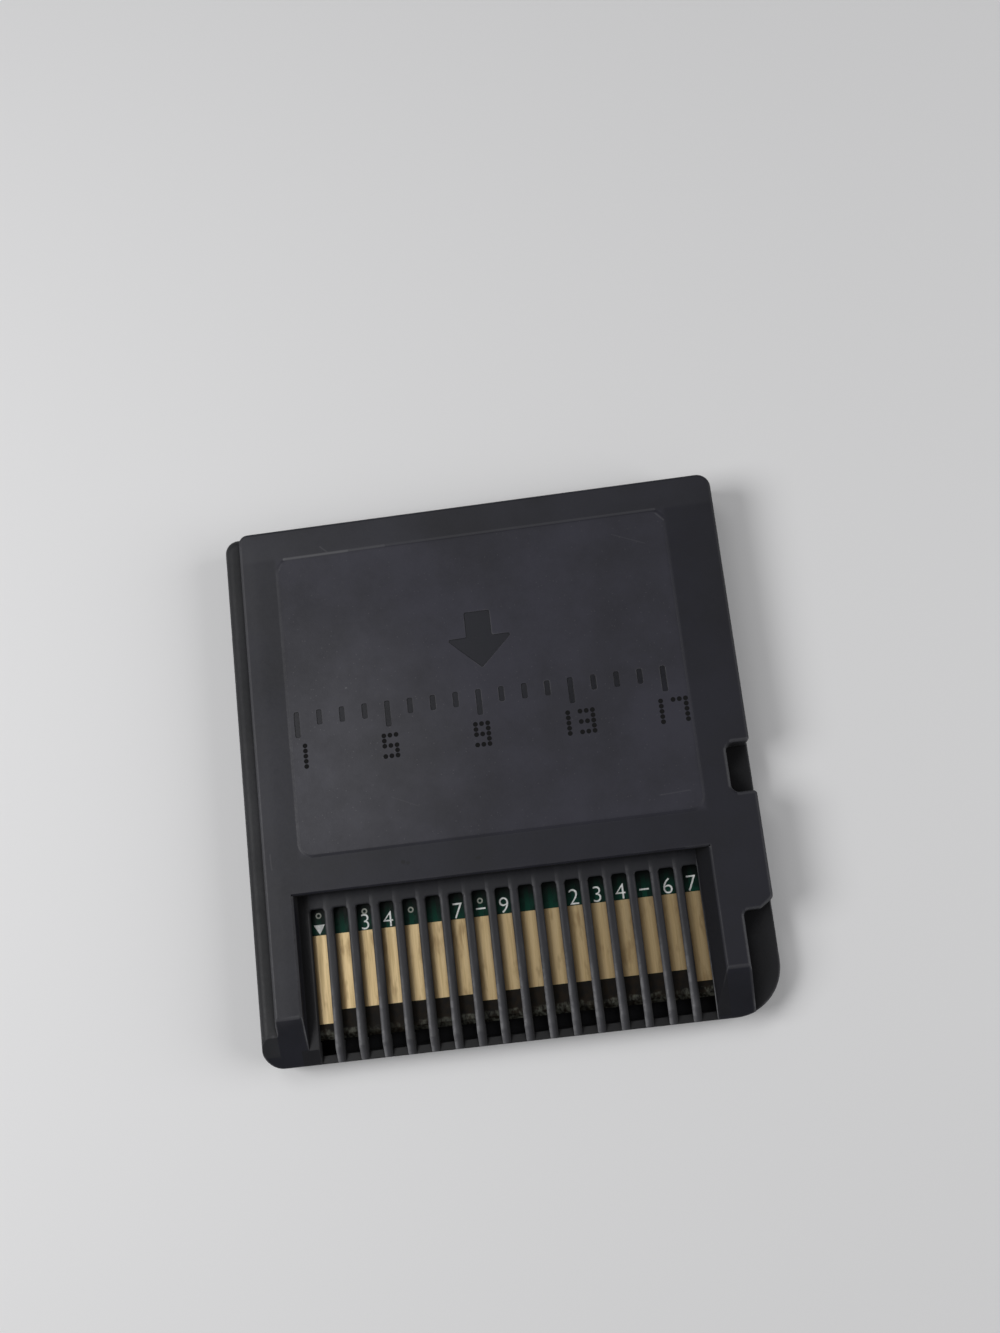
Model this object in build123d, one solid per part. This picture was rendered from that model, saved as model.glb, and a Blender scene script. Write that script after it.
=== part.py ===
from build123d import *
import os

# Game card with edge contacts, in millimetres.
# The label face lies on z = 0, the contact face is up, and the contacts are at the -Y end.
# The origin is under the middle of the card. Its width and thickness add up from what it holds.

# Card outline
card_length = 35.0
grip_right_radius = 0.9
grip_left_radius = 0.9
contact_left_radius = 1.3
contact_right_radius = 3.2
front_edge_radius = 0.4
rear_edge_radius = 0.22
seam_chamfer = 0.06

# Shell walls, from the label face up
front_wall = 1.05
front_well_floor = 0.5
board_rail_height = 0.2
board_rail_width = 1.0
rear_wall = 0.89
window_wall = 1.1
chip_cavity_margin = 0.9

# Raised panel on the contact face
panel_raise = 0.06
panel_bevel_angle = 73.0
panel_corner_radius = 1.0
panel_left_margin = 3.55
panel_right_margin = 3.25
panel_grip_margin = 2.0
panel_window_margin = 2.15

# Marks sunk into the panel: an arrow towards the contact end, and a tick over each contact
mark_depth = 0.04
mark_corner_radius = 0.12
arrow_width = 4.4
arrow_head = 2.1
arrow_stem_width = 1.7
arrow_stem = 1.7
arrow_grip_margin = 7.4
tick_width = 0.36
tick_length = 1.0
long_tick_extra = 0.7
tick_group_count = 4
tick_grip_margin = 12.6

# Ramp at the contact end, from the frame face down to a blunt tip
ramp_run = 3.1
ramp_tip_thickness = 0.25

# Ledge along the left side, and the wall between it and the board
ledge_width = 1.17
ledge_drop = 0.6
ledge_corner_radius = 0.6
ledge_edge_radius = 0.6
ledge_wall = 0.83

# Step in the right side at the contact end, and the wall between it and the board
step_depth = 1.95
step_length = 6.4
step_corner_radius = 0.35
step_chamfer_x = 0.85
step_chamfer_y = 0.6
step_wall = 0.58

# Latch notch in the right side
notch_depth = 1.55
notch_length = 3.15
notch_from_step = 7.35
notch_corner_radius = 0.5
notch_mouth_radius = 0.25

# Contact window and its ribs
window_length = 10.7
window_left_draft = 0.03
window_right_draft = 0.7
window_bevel = 0.12
rib_plate_left = 0.695
rib_plate_right = 0.135
rib_plate_strip = 1.05
rib_thickness = 0.45
rib_bevel = 0.09
slot_width = 0.97
slot_end_radius = 0.18
end_bar_depth = 0.5
end_bar_rise = 0.17
end_bar_drop = 0.4
end_bar_clearance = 0.05

# Circuit board
board_thickness = 0.8
board_above_seam = 0.2
board_side_margin = 0.75
board_front_gap = 0.95
board_grip_margin = 2.9
board_end_chamfer = 0.32
board_corner_radius = 0.6
board_clearance = 0.1

# Edge contacts
contact_count = 17
contact_pitch = 1.5
contact_width = 1.0
contact_length = 4.75
contact_thickness = 0.04
contact_end_margin = 0.68
outer_contact_extra = 0.8
long_contact_extra = 0.48
long_contact_number = 8
contact_clearance = 0.06

# Locating pins of the front shell, through the board into bosses of the rear shell
pin_radius = 0.65
pin_inset = 2.0
pin_clearance = 0.08
pin_end_gap = 0.2
boss_wall = 0.62

# Label on the front face
label_side_margin = 3.0
label_grip_margin = 3.0
label_contact_margin = 6.0
label_thickness = 0.1
label_recess = 0.15
label_corner_radius = 1.5
label_clearance = 0.15

# Chip packages on the board
memory_width = 11.0
memory_length = 9.2
memory_lead_pitch = 0.8
save_width = 4.0
save_length = 4.9
save_lead_pitch = 1.27
package_height = 0.62
package_standoff = 0.08
package_edge_chamfer = 0.1
package_gap = 0.6
lead_end_margin = 0.5
lead_width = 0.32
lead_thickness = 0.12
lead_reach = 0.9
lead_foot = 0.45

# Chip capacitors and resistors, in pairs along the window wall
capacitor_length = 1.6
capacitor_width = 0.8
capacitor_height = 0.7
resistor_length = 1.0
resistor_width = 0.5
resistor_height = 0.35
chip_part_pairs = 3
chip_part_gap = 0.8
chip_clearance = 0.1

# Heights that follow from the sizes above
chip_room = max(package_standoff + package_height, capacitor_height, resistor_height) + chip_clearance
board_underside = front_wall + board_rail_height
board_top = board_underside + board_thickness
parting_height = board_top - board_above_seam
cavity_ceiling = board_top + chip_room
face_height = cavity_ceiling + rear_wall
ledge_height = face_height - ledge_drop
rib_underside = board_top + contact_thickness + contact_clearance
rib_top = rib_underside + rib_thickness
ramp_tip_height = parting_height + ramp_tip_thickness
end_bar_height = parting_height + end_bar_rise
boss_radius = pin_radius + pin_clearance + boss_wall

# Widths that follow: the contact row, the window round it, the board, then the walls
left_border = ledge_width + ledge_wall + board_clearance + board_side_margin
right_border = step_depth + step_wall + board_clearance + board_side_margin
slots_left = left_border + window_bevel + window_left_draft + rib_plate_left
slots_right = right_border + window_bevel + window_right_draft + rib_plate_right
slots_width = contact_pitch * (contact_count - 1) + slot_width
card_width = slots_left + slots_width + slots_right
left = -card_width / 2
right = card_width / 2
window_left = left + left_border
window_right = right - right_border
board_left = window_left - board_side_margin
board_right = window_right + board_side_margin
step_x = right - step_depth
first_contact = left + slots_left + slot_width / 2
contact_x = [first_contact + contact_pitch * i for i in range(contact_count)]

# Places along the card that follow
contact_end = -card_length / 2
grip_end = card_length / 2
window_top = contact_end + window_length
slot_top = window_top - rib_plate_strip
end_bar_inner = contact_end + end_bar_depth
board_end = end_bar_inner + board_front_gap
board_grip = grip_end - board_grip_margin
outer_contact_end = board_end + board_end_chamfer + contact_end_margin
step_y = contact_end + step_length
notch_low = step_y + notch_from_step
notch_high = notch_low + notch_length
cavity_low = window_top + window_wall
pin_y = board_grip - pin_inset
pin_places = [(board_left + pin_inset, pin_y), (board_right - pin_inset, pin_y)]
packages_top = pin_y - boss_radius - package_gap


def prism(corners, radii, low, high):
    """A straight prism on an XY outline with rounded corners, from one level to another."""
    outline = make_face(FilletPolyline(*corners, radius=radii, close=True))
    return extrude(Pos(0, 0, low) * outline, high - low)


def block(x0, x1, y0, y1, z0, z1, contact_radius=0.0, grip_radius=0.0):
    """A box between two corners, with its upright edges rounded where a radius is given."""
    corners = [(x0, y0), (x1, y0), (x1, y1), (x0, y1)]
    return prism(corners, [contact_radius, contact_radius, grip_radius, grip_radius], z0, z1)


def upright_cylinder(x, y, radius, low, high):
    """A cylinder standing on one level and reaching to another."""
    return Pos(x, y, low) * extrude(Circle(radius), high - low)


def card_outline(low, high):
    """The whole outline of the card, which the front shell fills."""
    corners = [(left, contact_end), (right, contact_end), (right, grip_end), (left, grip_end)]
    radii = [contact_left_radius, contact_right_radius, grip_right_radius, grip_left_radius]
    return prism(corners, radii, low, high)


def rear_outline(low, high):
    """The outline of the rear shell: the card's, less the notch and the step on the right."""
    points = [
        (left, contact_end, contact_left_radius),
        (step_x, contact_end, 0.0),
        (step_x, step_y, step_corner_radius),
        (right - step_chamfer_x, step_y, step_corner_radius),
        (right, step_y + step_chamfer_y, step_corner_radius),
        (right, notch_low, notch_mouth_radius),
        (right - notch_depth, notch_low, notch_corner_radius),
        (right - notch_depth, notch_high, notch_corner_radius),
        (right, notch_high, notch_mouth_radius),
        (right, grip_end, grip_right_radius),
        (left, grip_end, grip_left_radius),
    ]
    outline = prism([(x, y) for x, y, r in points], [r for x, y, r in points], low, high)
    return outline & card_outline(low, high)


def ramp_cut():
    """The wedge that the ramp takes off the contact end of the rear shell."""
    profile = Polyline(
        (contact_end + ramp_run, face_height),
        (contact_end, ramp_tip_height),
        (contact_end - ramp_run, ramp_tip_height),
        (contact_end - ramp_run, face_height + ramp_run),
        (contact_end + ramp_run, face_height + ramp_run),
        close=True,
    )
    return extrude(Plane.YZ * make_face(profile), card_width, both=True)


def ledge_cut():
    """What the ledge takes off the left side of the rear shell, round the corner of the raised part."""
    inner = left + ledge_width
    corners = [(inner, contact_end), (right, contact_end), (right, grip_end), (inner, grip_end)]
    kept = prism(corners, [0.0, 0.0, 0.0, ledge_corner_radius], parting_height, face_height)
    ledge = card_outline(parting_height, ledge_height)
    ledge = fillet(ledge.faces().sort_by(Axis.Z)[-1].edges(), ledge_edge_radius)
    side = block(left - ledge_width, inner + ledge_corner_radius, contact_end - ledge_width,
                 grip_end + ledge_width, parting_height, face_height)
    return side - kept - ledge


def window_cut():
    """The window over the contacts, open at the contact end, with drafted sides and bevelled edges."""
    bevel_z = face_height - window_bevel
    wall_left = window_left + window_bevel
    wall_right = window_right - window_bevel
    wall_top = window_top - window_bevel
    profile = Polyline(
        (wall_left + window_left_draft, rib_top),
        (wall_right - window_right_draft, rib_top),
        (wall_right, bevel_z),
        (window_right, face_height),
        (window_left, face_height),
        (wall_left, bevel_z),
        close=True,
    )
    opening = Pos(0, wall_top, 0) * extrude(Plane.XZ * make_face(profile), window_length)
    lip = Polyline((wall_top, bevel_z), (window_top, face_height), (wall_top, face_height), close=True)
    lip_bevel = extrude(Plane.YZ * make_face(lip), window_right - window_left)
    return opening + Pos(window_left, 0, 0) * lip_bevel


def raised_panel():
    """The raised panel with its soft bevelled border."""
    x0 = left + panel_left_margin
    x1 = right - panel_right_margin
    y0 = window_top + panel_window_margin
    y1 = grip_end - panel_grip_margin
    outline = RectangleRounded(x1 - x0, y1 - y0, panel_corner_radius)
    outline = Pos((x0 + x1) / 2, (y0 + y1) / 2, face_height) * outline
    return extrude(outline, panel_raise, taper=panel_bevel_angle)


def panel_marks():
    """The arrow and the ticks that are sunk into the raised panel."""
    high = face_height + panel_raise
    low = high - mark_depth
    middle = (panel_left_margin - panel_right_margin) / 2
    arrow_top = grip_end - arrow_grip_margin
    neck = arrow_top - arrow_stem
    corners = [
        (middle - arrow_stem_width / 2, arrow_top),
        (middle - arrow_stem_width / 2, neck),
        (middle - arrow_width / 2, neck),
        (middle, neck - arrow_head),
        (middle + arrow_width / 2, neck),
        (middle + arrow_stem_width / 2, neck),
        (middle + arrow_stem_width / 2, arrow_top),
    ]
    marks = [prism(corners, [mark_corner_radius] * len(corners), low, high)]
    tick_top = grip_end - tick_grip_margin
    for i, x in enumerate(contact_x):
        tick_low = tick_top - tick_length
        if i % tick_group_count == 0:
            tick_low -= long_tick_extra
        marks.append(block(x - tick_width / 2, x + tick_width / 2, tick_low, tick_top, low, high,
                           mark_corner_radius, mark_corner_radius))
    return marks


def end_bar(clearance):
    """The low bar that ties the rib ends, sunk into the end wall of the front shell."""
    side = slot_width / 2 + (contact_pitch - slot_width) + clearance
    return block(contact_x[0] - side, contact_x[-1] + side, contact_end, end_bar_inner,
                 parting_height - end_bar_drop, parting_height)


def slot_cuts():
    """The slots between the ribs, and the lower gaps over the end bar."""
    cuts = []
    for x in contact_x:
        sides = (x - slot_width / 2, x + slot_width / 2)
        cuts.append(block(*sides, end_bar_inner, slot_top, parting_height, rib_top, grip_radius=slot_end_radius))
        cuts.append(block(*sides, contact_end, end_bar_inner, end_bar_height, rib_top))
    return cuts


def rib_bevels():
    """Bevels along the upper edges of the ribs, on the flat and then down the ramp."""
    ramp_fall = face_height - ramp_tip_height
    crease = contact_end + ramp_run * (rib_top - ramp_tip_height) / ramp_fall
    start = slot_top - slot_end_radius
    bevels = []
    for x in contact_x:
        half = slot_width / 2
        profile = Polyline(
            (x - half, rib_top - rib_bevel),
            (x + half, rib_top - rib_bevel),
            (x + half + rib_bevel, rib_top),
            (x - half - rib_bevel, rib_top),
            close=True,
        )
        section = Plane.XZ * make_face(profile)
        bevels.append(Pos(0, start, 0) * extrude(section, start - crease))
        bevels.append(Pos(0, crease, 0) * extrude(section, ramp_run, dir=(0, -ramp_run, -ramp_fall)))
    return bevels


def board_pocket(low, high):
    """The room that the board takes up, with its clearance, between two levels."""
    return block(board_left - board_clearance, board_right + board_clearance, board_end - board_clearance,
                 board_grip + board_clearance, low, high, grip_radius=board_corner_radius)


def chip_cavity():
    """The room for the chips, above the board and under the raised panel."""
    return block(board_left + chip_cavity_margin, board_right - chip_cavity_margin, cavity_low,
                 board_grip - chip_cavity_margin, rib_underside, cavity_ceiling,
                 board_corner_radius, board_corner_radius)


def rear_shell():
    """The upper half shell, one moulding with the raised panel, the window and the pin bosses."""
    shell = rear_outline(parting_height, face_height)
    shell = chamfer(shell.faces().sort_by(Axis.Z)[0].edges(), seam_chamfer)
    shell = shell - ledge_cut() - ramp_cut()
    face = shell.faces().filter_by(Axis.Z).sort_by(Axis.Z)[-1]
    shell = fillet(face.outer_wire().edges(), rear_edge_radius)
    shell = shell - window_cut() + raised_panel() - panel_marks()
    shell = shell - board_pocket(parting_height, rib_underside) - chip_cavity()
    shell = shell + end_bar(0.0) - slot_cuts() - rib_bevels()
    for x, y in pin_places:
        shell += upright_cylinder(x, y, boss_radius, rib_underside, cavity_ceiling)
        shell -= upright_cylinder(x, y, pin_radius + pin_clearance, rib_underside, cavity_ceiling)
    return shell


def label_shape(clearance, low, high):
    """The label's outline, grown by a clearance, between two levels."""
    radius = label_corner_radius + clearance
    return block(left + label_side_margin - clearance, right - label_side_margin + clearance,
                 contact_end + label_contact_margin - clearance, grip_end - label_grip_margin + clearance,
                 low, high, radius, radius)


def board_rails():
    """Rails that carry the board along its sides and its grip end."""
    hollow = block(board_left + board_rail_width, board_right - board_rail_width, contact_end,
                   board_grip - board_rail_width, front_wall, board_underside)
    return board_pocket(front_wall, board_underside) - hollow


def front_shell():
    """The lower half shell, one moulding with the label recess, the board rails and the pins."""
    shell = card_outline(0.0, parting_height)
    shell = fillet(shell.faces().sort_by(Axis.Z)[0].edges(), front_edge_radius)
    shell = chamfer(shell.faces().sort_by(Axis.Z)[-1].edges(), seam_chamfer)
    shell -= label_shape(label_clearance, 0.0, label_recess)
    shell -= board_pocket(front_wall, parting_height)
    shell -= block(board_left - board_clearance, board_right + board_clearance, end_bar_inner, board_end,
                   front_well_floor, parting_height)
    shell = shell + board_rails() - end_bar(end_bar_clearance)
    for x, y in pin_places:
        shell += upright_cylinder(x, y, boss_radius, front_wall, board_underside)
        shell += upright_cylinder(x, y, pin_radius, board_underside, cavity_ceiling - pin_end_gap)
    return shell


def circuit_board():
    """The board, with its end bevelled for sliding in and a hole for each locating pin."""
    board = block(board_left, board_right, board_end, board_grip, board_underside, board_top,
                  grip_radius=board_corner_radius)
    end_edge = board.edges().filter_by(Axis.X).group_by(Axis.Z)[-1].sort_by(Axis.Y)[0]
    board = chamfer(end_edge, board_end_chamfer)
    for x, y in pin_places:
        board -= upright_cylinder(x, y, pin_radius + pin_clearance, board_underside, board_top)
    return board


def contact_pad(number):
    """One plated contact on the board; the outer two and one more reach nearer the board's end."""
    low = outer_contact_end + outer_contact_extra
    high = low + contact_length
    if number in (1, contact_count):
        low = outer_contact_end
    elif number == long_contact_number:
        low -= long_contact_extra
    x = contact_x[number - 1]
    return block(x - contact_width / 2, x + contact_width / 2, low, high,
                 board_top, board_top + contact_thickness)


def package(x, y, width, length):
    """A moulded chip package just above the board, with its top edges bevelled."""
    low = board_top + package_standoff
    body = block(x - width / 2, x + width / 2, y - length / 2, y + length / 2, low, low + package_height)
    return chamfer(body.faces().sort_by(Axis.Z)[-1].edges(), package_edge_chamfer)


def package_leads(x, y, width, length, pitch):
    """Two rows of gull-wing leads from the sides of a package down to the board."""
    count = int((length - 2 * lead_end_margin) / pitch) + 1
    shoulder = board_top + package_standoff + package_height / 2
    knee = lead_reach - lead_foot
    profile = Polyline(
        (0.0, shoulder),
        (knee, shoulder),
        (knee, board_top + lead_thickness),
        (lead_reach, board_top + lead_thickness),
        (lead_reach, board_top),
        (knee - lead_thickness, board_top),
        (knee - lead_thickness, shoulder - lead_thickness),
        (0.0, shoulder - lead_thickness),
        close=True,
    )
    lead = extrude(Plane.XZ * make_face(profile), lead_width / 2, both=True)
    leads = []
    for i in range(count):
        lead_y = y + pitch * (i - (count - 1) / 2)
        leads.append(Pos(x + width / 2, lead_y, 0) * lead)
        leads.append(Pos(x - width / 2, lead_y, 0) * Rot(0, 0, 180) * lead)
    return Compound(children=leads)


def chip_part(x, y, length, width, height):
    """A chip capacitor or resistor lying on the board."""
    return block(x - length / 2, x + length / 2, y - width / 2, y + width / 2, board_top, board_top + height)


package_inset = chip_cavity_margin + package_gap + lead_reach
memory_place = (board_right - package_inset - memory_width / 2, packages_top - memory_length / 2)
save_place = (board_left + package_inset + save_width / 2, packages_top - save_length / 2)
chip_part_x = board_left + chip_cavity_margin + chip_part_gap + capacitor_length / 2
capacitor_y = cavity_low + chip_part_gap + capacitor_width / 2
resistor_y = capacitor_y + (capacitor_width + resistor_width) / 2 + chip_part_gap

nodes = {
    "front_shell": front_shell(),
    "rear_shell": rear_shell(),
    "circuit_board": circuit_board(),
    "front_label": label_shape(0.0, label_recess - label_thickness, label_recess),
    "memory_chip": package(*memory_place, memory_width, memory_length),
    "memory_chip_leads": package_leads(*memory_place, memory_width, memory_length, memory_lead_pitch),
    "save_chip": package(*save_place, save_width, save_length),
    "save_chip_leads": package_leads(*save_place, save_width, save_length, save_lead_pitch),
}
for number in range(1, contact_count + 1):
    nodes[f"contact_pad_{number:02d}"] = contact_pad(number)
for number in range(1, chip_part_pairs + 1):
    part_x = chip_part_x + (capacitor_length + chip_part_gap) * (number - 1)
    nodes[f"capacitor_{number}"] = chip_part(part_x, capacitor_y, capacitor_length, capacitor_width,
                                             capacitor_height)
    nodes[f"resistor_{number}"] = chip_part(part_x, resistor_y, resistor_length, resistor_width,
                                            resistor_height)

os.makedirs("parts", exist_ok=True)
for name, shape in nodes.items():
    shape.label = name
    export_step(shape, f"parts/{name}.step")
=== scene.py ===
import math

import bmesh
import bpy
from mathutils import Matrix, Vector


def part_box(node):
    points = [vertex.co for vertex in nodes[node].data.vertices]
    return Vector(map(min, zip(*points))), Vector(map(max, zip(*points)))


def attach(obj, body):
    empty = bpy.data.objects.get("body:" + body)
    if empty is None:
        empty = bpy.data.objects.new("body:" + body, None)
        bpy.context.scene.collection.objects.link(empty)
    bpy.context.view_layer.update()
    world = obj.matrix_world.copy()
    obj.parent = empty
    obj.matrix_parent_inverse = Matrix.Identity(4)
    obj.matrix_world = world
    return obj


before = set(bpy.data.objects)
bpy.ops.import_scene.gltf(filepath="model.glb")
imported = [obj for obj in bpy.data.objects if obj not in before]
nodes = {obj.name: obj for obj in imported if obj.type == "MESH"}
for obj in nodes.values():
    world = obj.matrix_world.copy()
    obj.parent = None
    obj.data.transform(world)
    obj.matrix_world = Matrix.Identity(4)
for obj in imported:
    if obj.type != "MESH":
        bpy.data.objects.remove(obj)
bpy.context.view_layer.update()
mm = 0.001
contactPitch = 1.5 * mm        # of the contacts, and of the ribs between them
padNames = sorted(name for name in nodes if name.startswith("contact_pad_"))
print("frame loaded,", len(nodes), "pieces")


def padTop(number):
    low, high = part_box(f"contact_pad_{number:02d}")
    return (low.x + high.x) / 2, high.y


# small helpers for node trees

noiseBulk = (0.3, 0.7)         # most of a noise lies between these


def addNode(tree, kind, inputs=None, **settings):
    made = tree.nodes.new(kind)
    for key, value in settings.items():
        setattr(made, key, value)
    for key, value in (inputs or {}).items():
        if isinstance(value, bpy.types.NodeSocket):
            tree.links.new(value, made.inputs[key])
        else:
            made.inputs[key].default_value = value
    return made


def calc(tree, operation, a, b=0.0, c=0.0, clamp=False):
    made = addNode(tree, "ShaderNodeMath", {0: a, 1: b, 2: c}, operation=operation, use_clamp=clamp)
    return made.outputs[0]


def times(tree, first, *others):
    for other in others:
        first = calc(tree, "MULTIPLY", first, other)
    return first


def within(tree, value, low, high):
    return calc(tree, "COMPARE", value, (low + high) / 2, (high - low) / 2)


def inSpans(tree, values, spans):
    return times(tree, *(within(tree, value, *span) for value, span in zip(values, spans)))


def vectorCalc(tree, operation, a, b=(0, 0, 0), output="Vector"):
    made = addNode(tree, "ShaderNodeVectorMath", {0: a, 1: b}, operation=operation)
    return made.outputs[output]


def ramp(tree, value, low, high, outLow=0.0, outHigh=1.0, soft=True):
    kind = "SMOOTHSTEP" if soft else "LINEAR"
    inputs = {"Value": value, "From Min": low, "From Max": high, "To Min": outLow, "To Max": outHigh}
    return addNode(tree, "ShaderNodeMapRange", inputs, interpolation_type=kind).outputs["Result"]


def mixColour(tree, factor, a, b, mode="MIX"):
    made = addNode(tree, "ShaderNodeMix", {0: factor, 6: a, 7: b}, data_type="RGBA", blend_type=mode)
    return made.outputs[2]


def layered(tree, colour, layers):
    for amount, paint in layers:
        colour = mixColour(tree, amount, colour, paint)
    return colour


# in the dictionaries a noise is its scale, detail and sometimes roughness
def noise(tree, vector, scale, detail=2.0, rough=0.5):
    inputs = {"Vector": vector, "Scale": scale, "Detail": detail, "Roughness": rough}
    return addNode(tree, "ShaderNodeTexNoise", inputs).outputs["Fac"]


def stretched(tree, vector, stretch):
    return addNode(tree, "ShaderNodeMapping", {"Vector": vector, "Scale": stretch}).outputs["Vector"]


# 1 in the open, less where something is near
def openness(tree, reach, **settings):
    made = addNode(tree, "ShaderNodeAmbientOcclusion", {"Distance": reach}, samples=8, **settings)
    return made.outputs["AO"]


def bumped(tree, height, distance, **inputs):
    made = addNode(tree, "ShaderNodeBump", {"Height": height, "Distance": distance, **inputs})
    return made.outputs["Normal"]


def newGroup(name, inputs, outputs):
    group = bpy.data.node_groups.new(name, "ShaderNodeTree")
    for label, kind, value in inputs:
        socket = group.interface.new_socket(label, in_out="INPUT", socket_type=kind)
        if value is not None:
            socket.default_value = value
    for label in outputs:
        group.interface.new_socket(label, in_out="OUTPUT", socket_type="NodeSocketFloat")
    return group, group.nodes.new("NodeGroupInput"), group.nodes.new("NodeGroupOutput")


def place(tree, group, **inputs):
    return addNode(tree, "ShaderNodeGroup", inputs, node_tree=group).outputs


def newMaterial(name):
    material = bpy.data.materials.new(name)
    material.use_nodes = True
    tree = material.node_tree
    shader = tree.nodes["Principled BSDF"]
    where = addNode(tree, "ShaderNodeTexCoord").outputs["Object"]
    return material, tree, shader, where


def feed(tree, shader, **sockets):
    names = {"colour": "Base Color", "roughness": "Roughness", "normal": "Normal"}
    for key, value in sockets.items():
        tree.links.new(value, shader.inputs[names[key]])


def wear(name, material):
    obj = nodes[name]
    obj.data.materials.clear()
    obj.data.materials.append(material)


# shared effects, each one group

effectLook = {
    "edgeRange": (0.06, 0.40),           # from no wear to full wear
    "edgePatches": (0.35, 0.70),
    "edgePatchNoise": (3.0, 0.6),        # detail and roughness, as in the noises below
    # painted shade in creases
    "creviceRange": (0.05, 0.60),
    "fineNoise": (2.0, 0.6),
    "coarseNoise": (2.0, 0.5),
    "coarseScale": 0.33,                 # of the fine grain's scale
    "grainShares": (0.6, 0.4),           # fine and coarse
    "speckScale": 0.30,
    "speckSize": (0.14, 0.05),
    "rubStretch": (1.0, 0.02, 1.0),
    "rubNoise": (3.0, 0.7),
    "rubRange": (0.66, 0.74),
    "rubPlaceScale": 0.30,
    "rubPlaceNoise": (1.0, 0.5),
    "rubPlaces": (0.50, 0.65),
    "lineCore": 0.3,                     # share of a line's width that has its full strength
}


# Edge is wear on convex edges; Crevice is painted shade in creases
def makeEdgeWear(look):
    group, given, out = newGroup(
        "edgeWearAndCreviceShade",
        [("Reach", "NodeSocketFloat", 0.1 * mm), ("Patch Scale", "NodeSocketFloat", 500.0),
         ("Vector", "NodeSocketVector", None)],
        ["Edge", "Crevice"])
    convex = openness(group, given.outputs["Reach"], inside=True, only_local=True)
    hollow = openness(group, given.outputs["Reach"], only_local=True)
    patches = noise(group, given.outputs["Vector"], given.outputs["Patch Scale"], *look["edgePatchNoise"])
    edge = ramp(group, calc(group, "SUBTRACT", 1.0, convex), *look["edgeRange"])
    edge = calc(group, "MULTIPLY", edge, ramp(group, patches, *look["edgePatches"]), clamp=True)
    crevice = ramp(group, calc(group, "SUBTRACT", 1.0, hollow), *look["creviceRange"])
    group.links.new(edge, out.inputs["Edge"])
    group.links.new(crevice, out.inputs["Crevice"])
    return group


def makeMouldGrain(look):
    group, given, out = newGroup(
        "mouldGrain",
        [("Vector", "NodeSocketVector", None), ("Scale", "NodeSocketFloat", 9000.0)],
        ["Height", "Speckle"])
    where, scale = given.outputs["Vector"], given.outputs["Scale"]
    fine = noise(group, where, scale, *look["fineNoise"])
    coarse = noise(group, where, times(group, scale, look["coarseScale"]), *look["coarseNoise"])
    fineShare, coarseShare = look["grainShares"]
    height = calc(group, "ADD", times(group, fine, fineShare), times(group, coarse, coarseShare))
    cells = addNode(group, "ShaderNodeTexVoronoi",
                    {"Vector": where, "Scale": times(group, scale, look["speckScale"])})
    speckle = ramp(group, cells.outputs["Distance"], *look["speckSize"])
    group.links.new(height, out.inputs["Height"])
    group.links.new(speckle, out.inputs["Speckle"])
    return group


def makeRubMarks(look):
    group, given, out = newGroup(
        "rubMarks",
        [("Vector", "NodeSocketVector", None), ("Scale", "NodeSocketFloat", 300.0),
         ("Turn", "NodeSocketFloat", 0.4)],
        ["Marks"])
    where, scale = given.outputs["Vector"], given.outputs["Scale"]
    turn = addNode(group, "ShaderNodeCombineXYZ", {"Z": given.outputs["Turn"]}).outputs["Vector"]
    turned = addNode(group, "ShaderNodeMapping",
                     {"Vector": where, "Rotation": turn, "Scale": look["rubStretch"]})
    lines = noise(group, turned.outputs["Vector"], scale, *look["rubNoise"])
    places = noise(group, where, times(group, scale, look["rubPlaceScale"]), *look["rubPlaceNoise"])
    marks = times(group, ramp(group, lines, *look["rubRange"]), ramp(group, places, *look["rubPlaces"]))
    group.links.new(marks, out.inputs["Marks"])
    return group


def makeLineMark(look):
    group, given, out = newGroup(
        "lineMark",
        [("Vector", "NodeSocketVector", None), ("Start", "NodeSocketVector", None),
         ("End", "NodeSocketVector", None), ("Width", "NodeSocketFloat", 0.05 * mm)],
        ["Mask"])
    fromStart = vectorCalc(group, "SUBTRACT", given.outputs["Vector"], given.outputs["Start"])
    along = vectorCalc(group, "SUBTRACT", given.outputs["End"], given.outputs["Start"])
    reach = vectorCalc(group, "DOT_PRODUCT", fromStart, along, "Value")
    whole = vectorCalc(group, "DOT_PRODUCT", along, along, "Value")
    share = calc(group, "DIVIDE", reach, whole, clamp=True)
    spot = addNode(group, "ShaderNodeVectorMath", {0: along, "Scale": share}, operation="SCALE")
    away = vectorCalc(group, "DISTANCE", fromStart, spot.outputs["Vector"], "Value")
    width = given.outputs["Width"]
    mask = ramp(group, away, times(group, width, look["lineCore"]), width, 1.0, 0.0)
    group.links.new(mask, out.inputs["Mask"])
    return group


edgeWearAndCreviceShade = makeEdgeWear(effectLook)
mouldGrain = makeMouldGrain(effectLook)
rubMarks = makeRubMarks(effectLook)
lineMark = makeLineMark(effectLook)
print("shared effects ready")


# the two half shells

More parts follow.
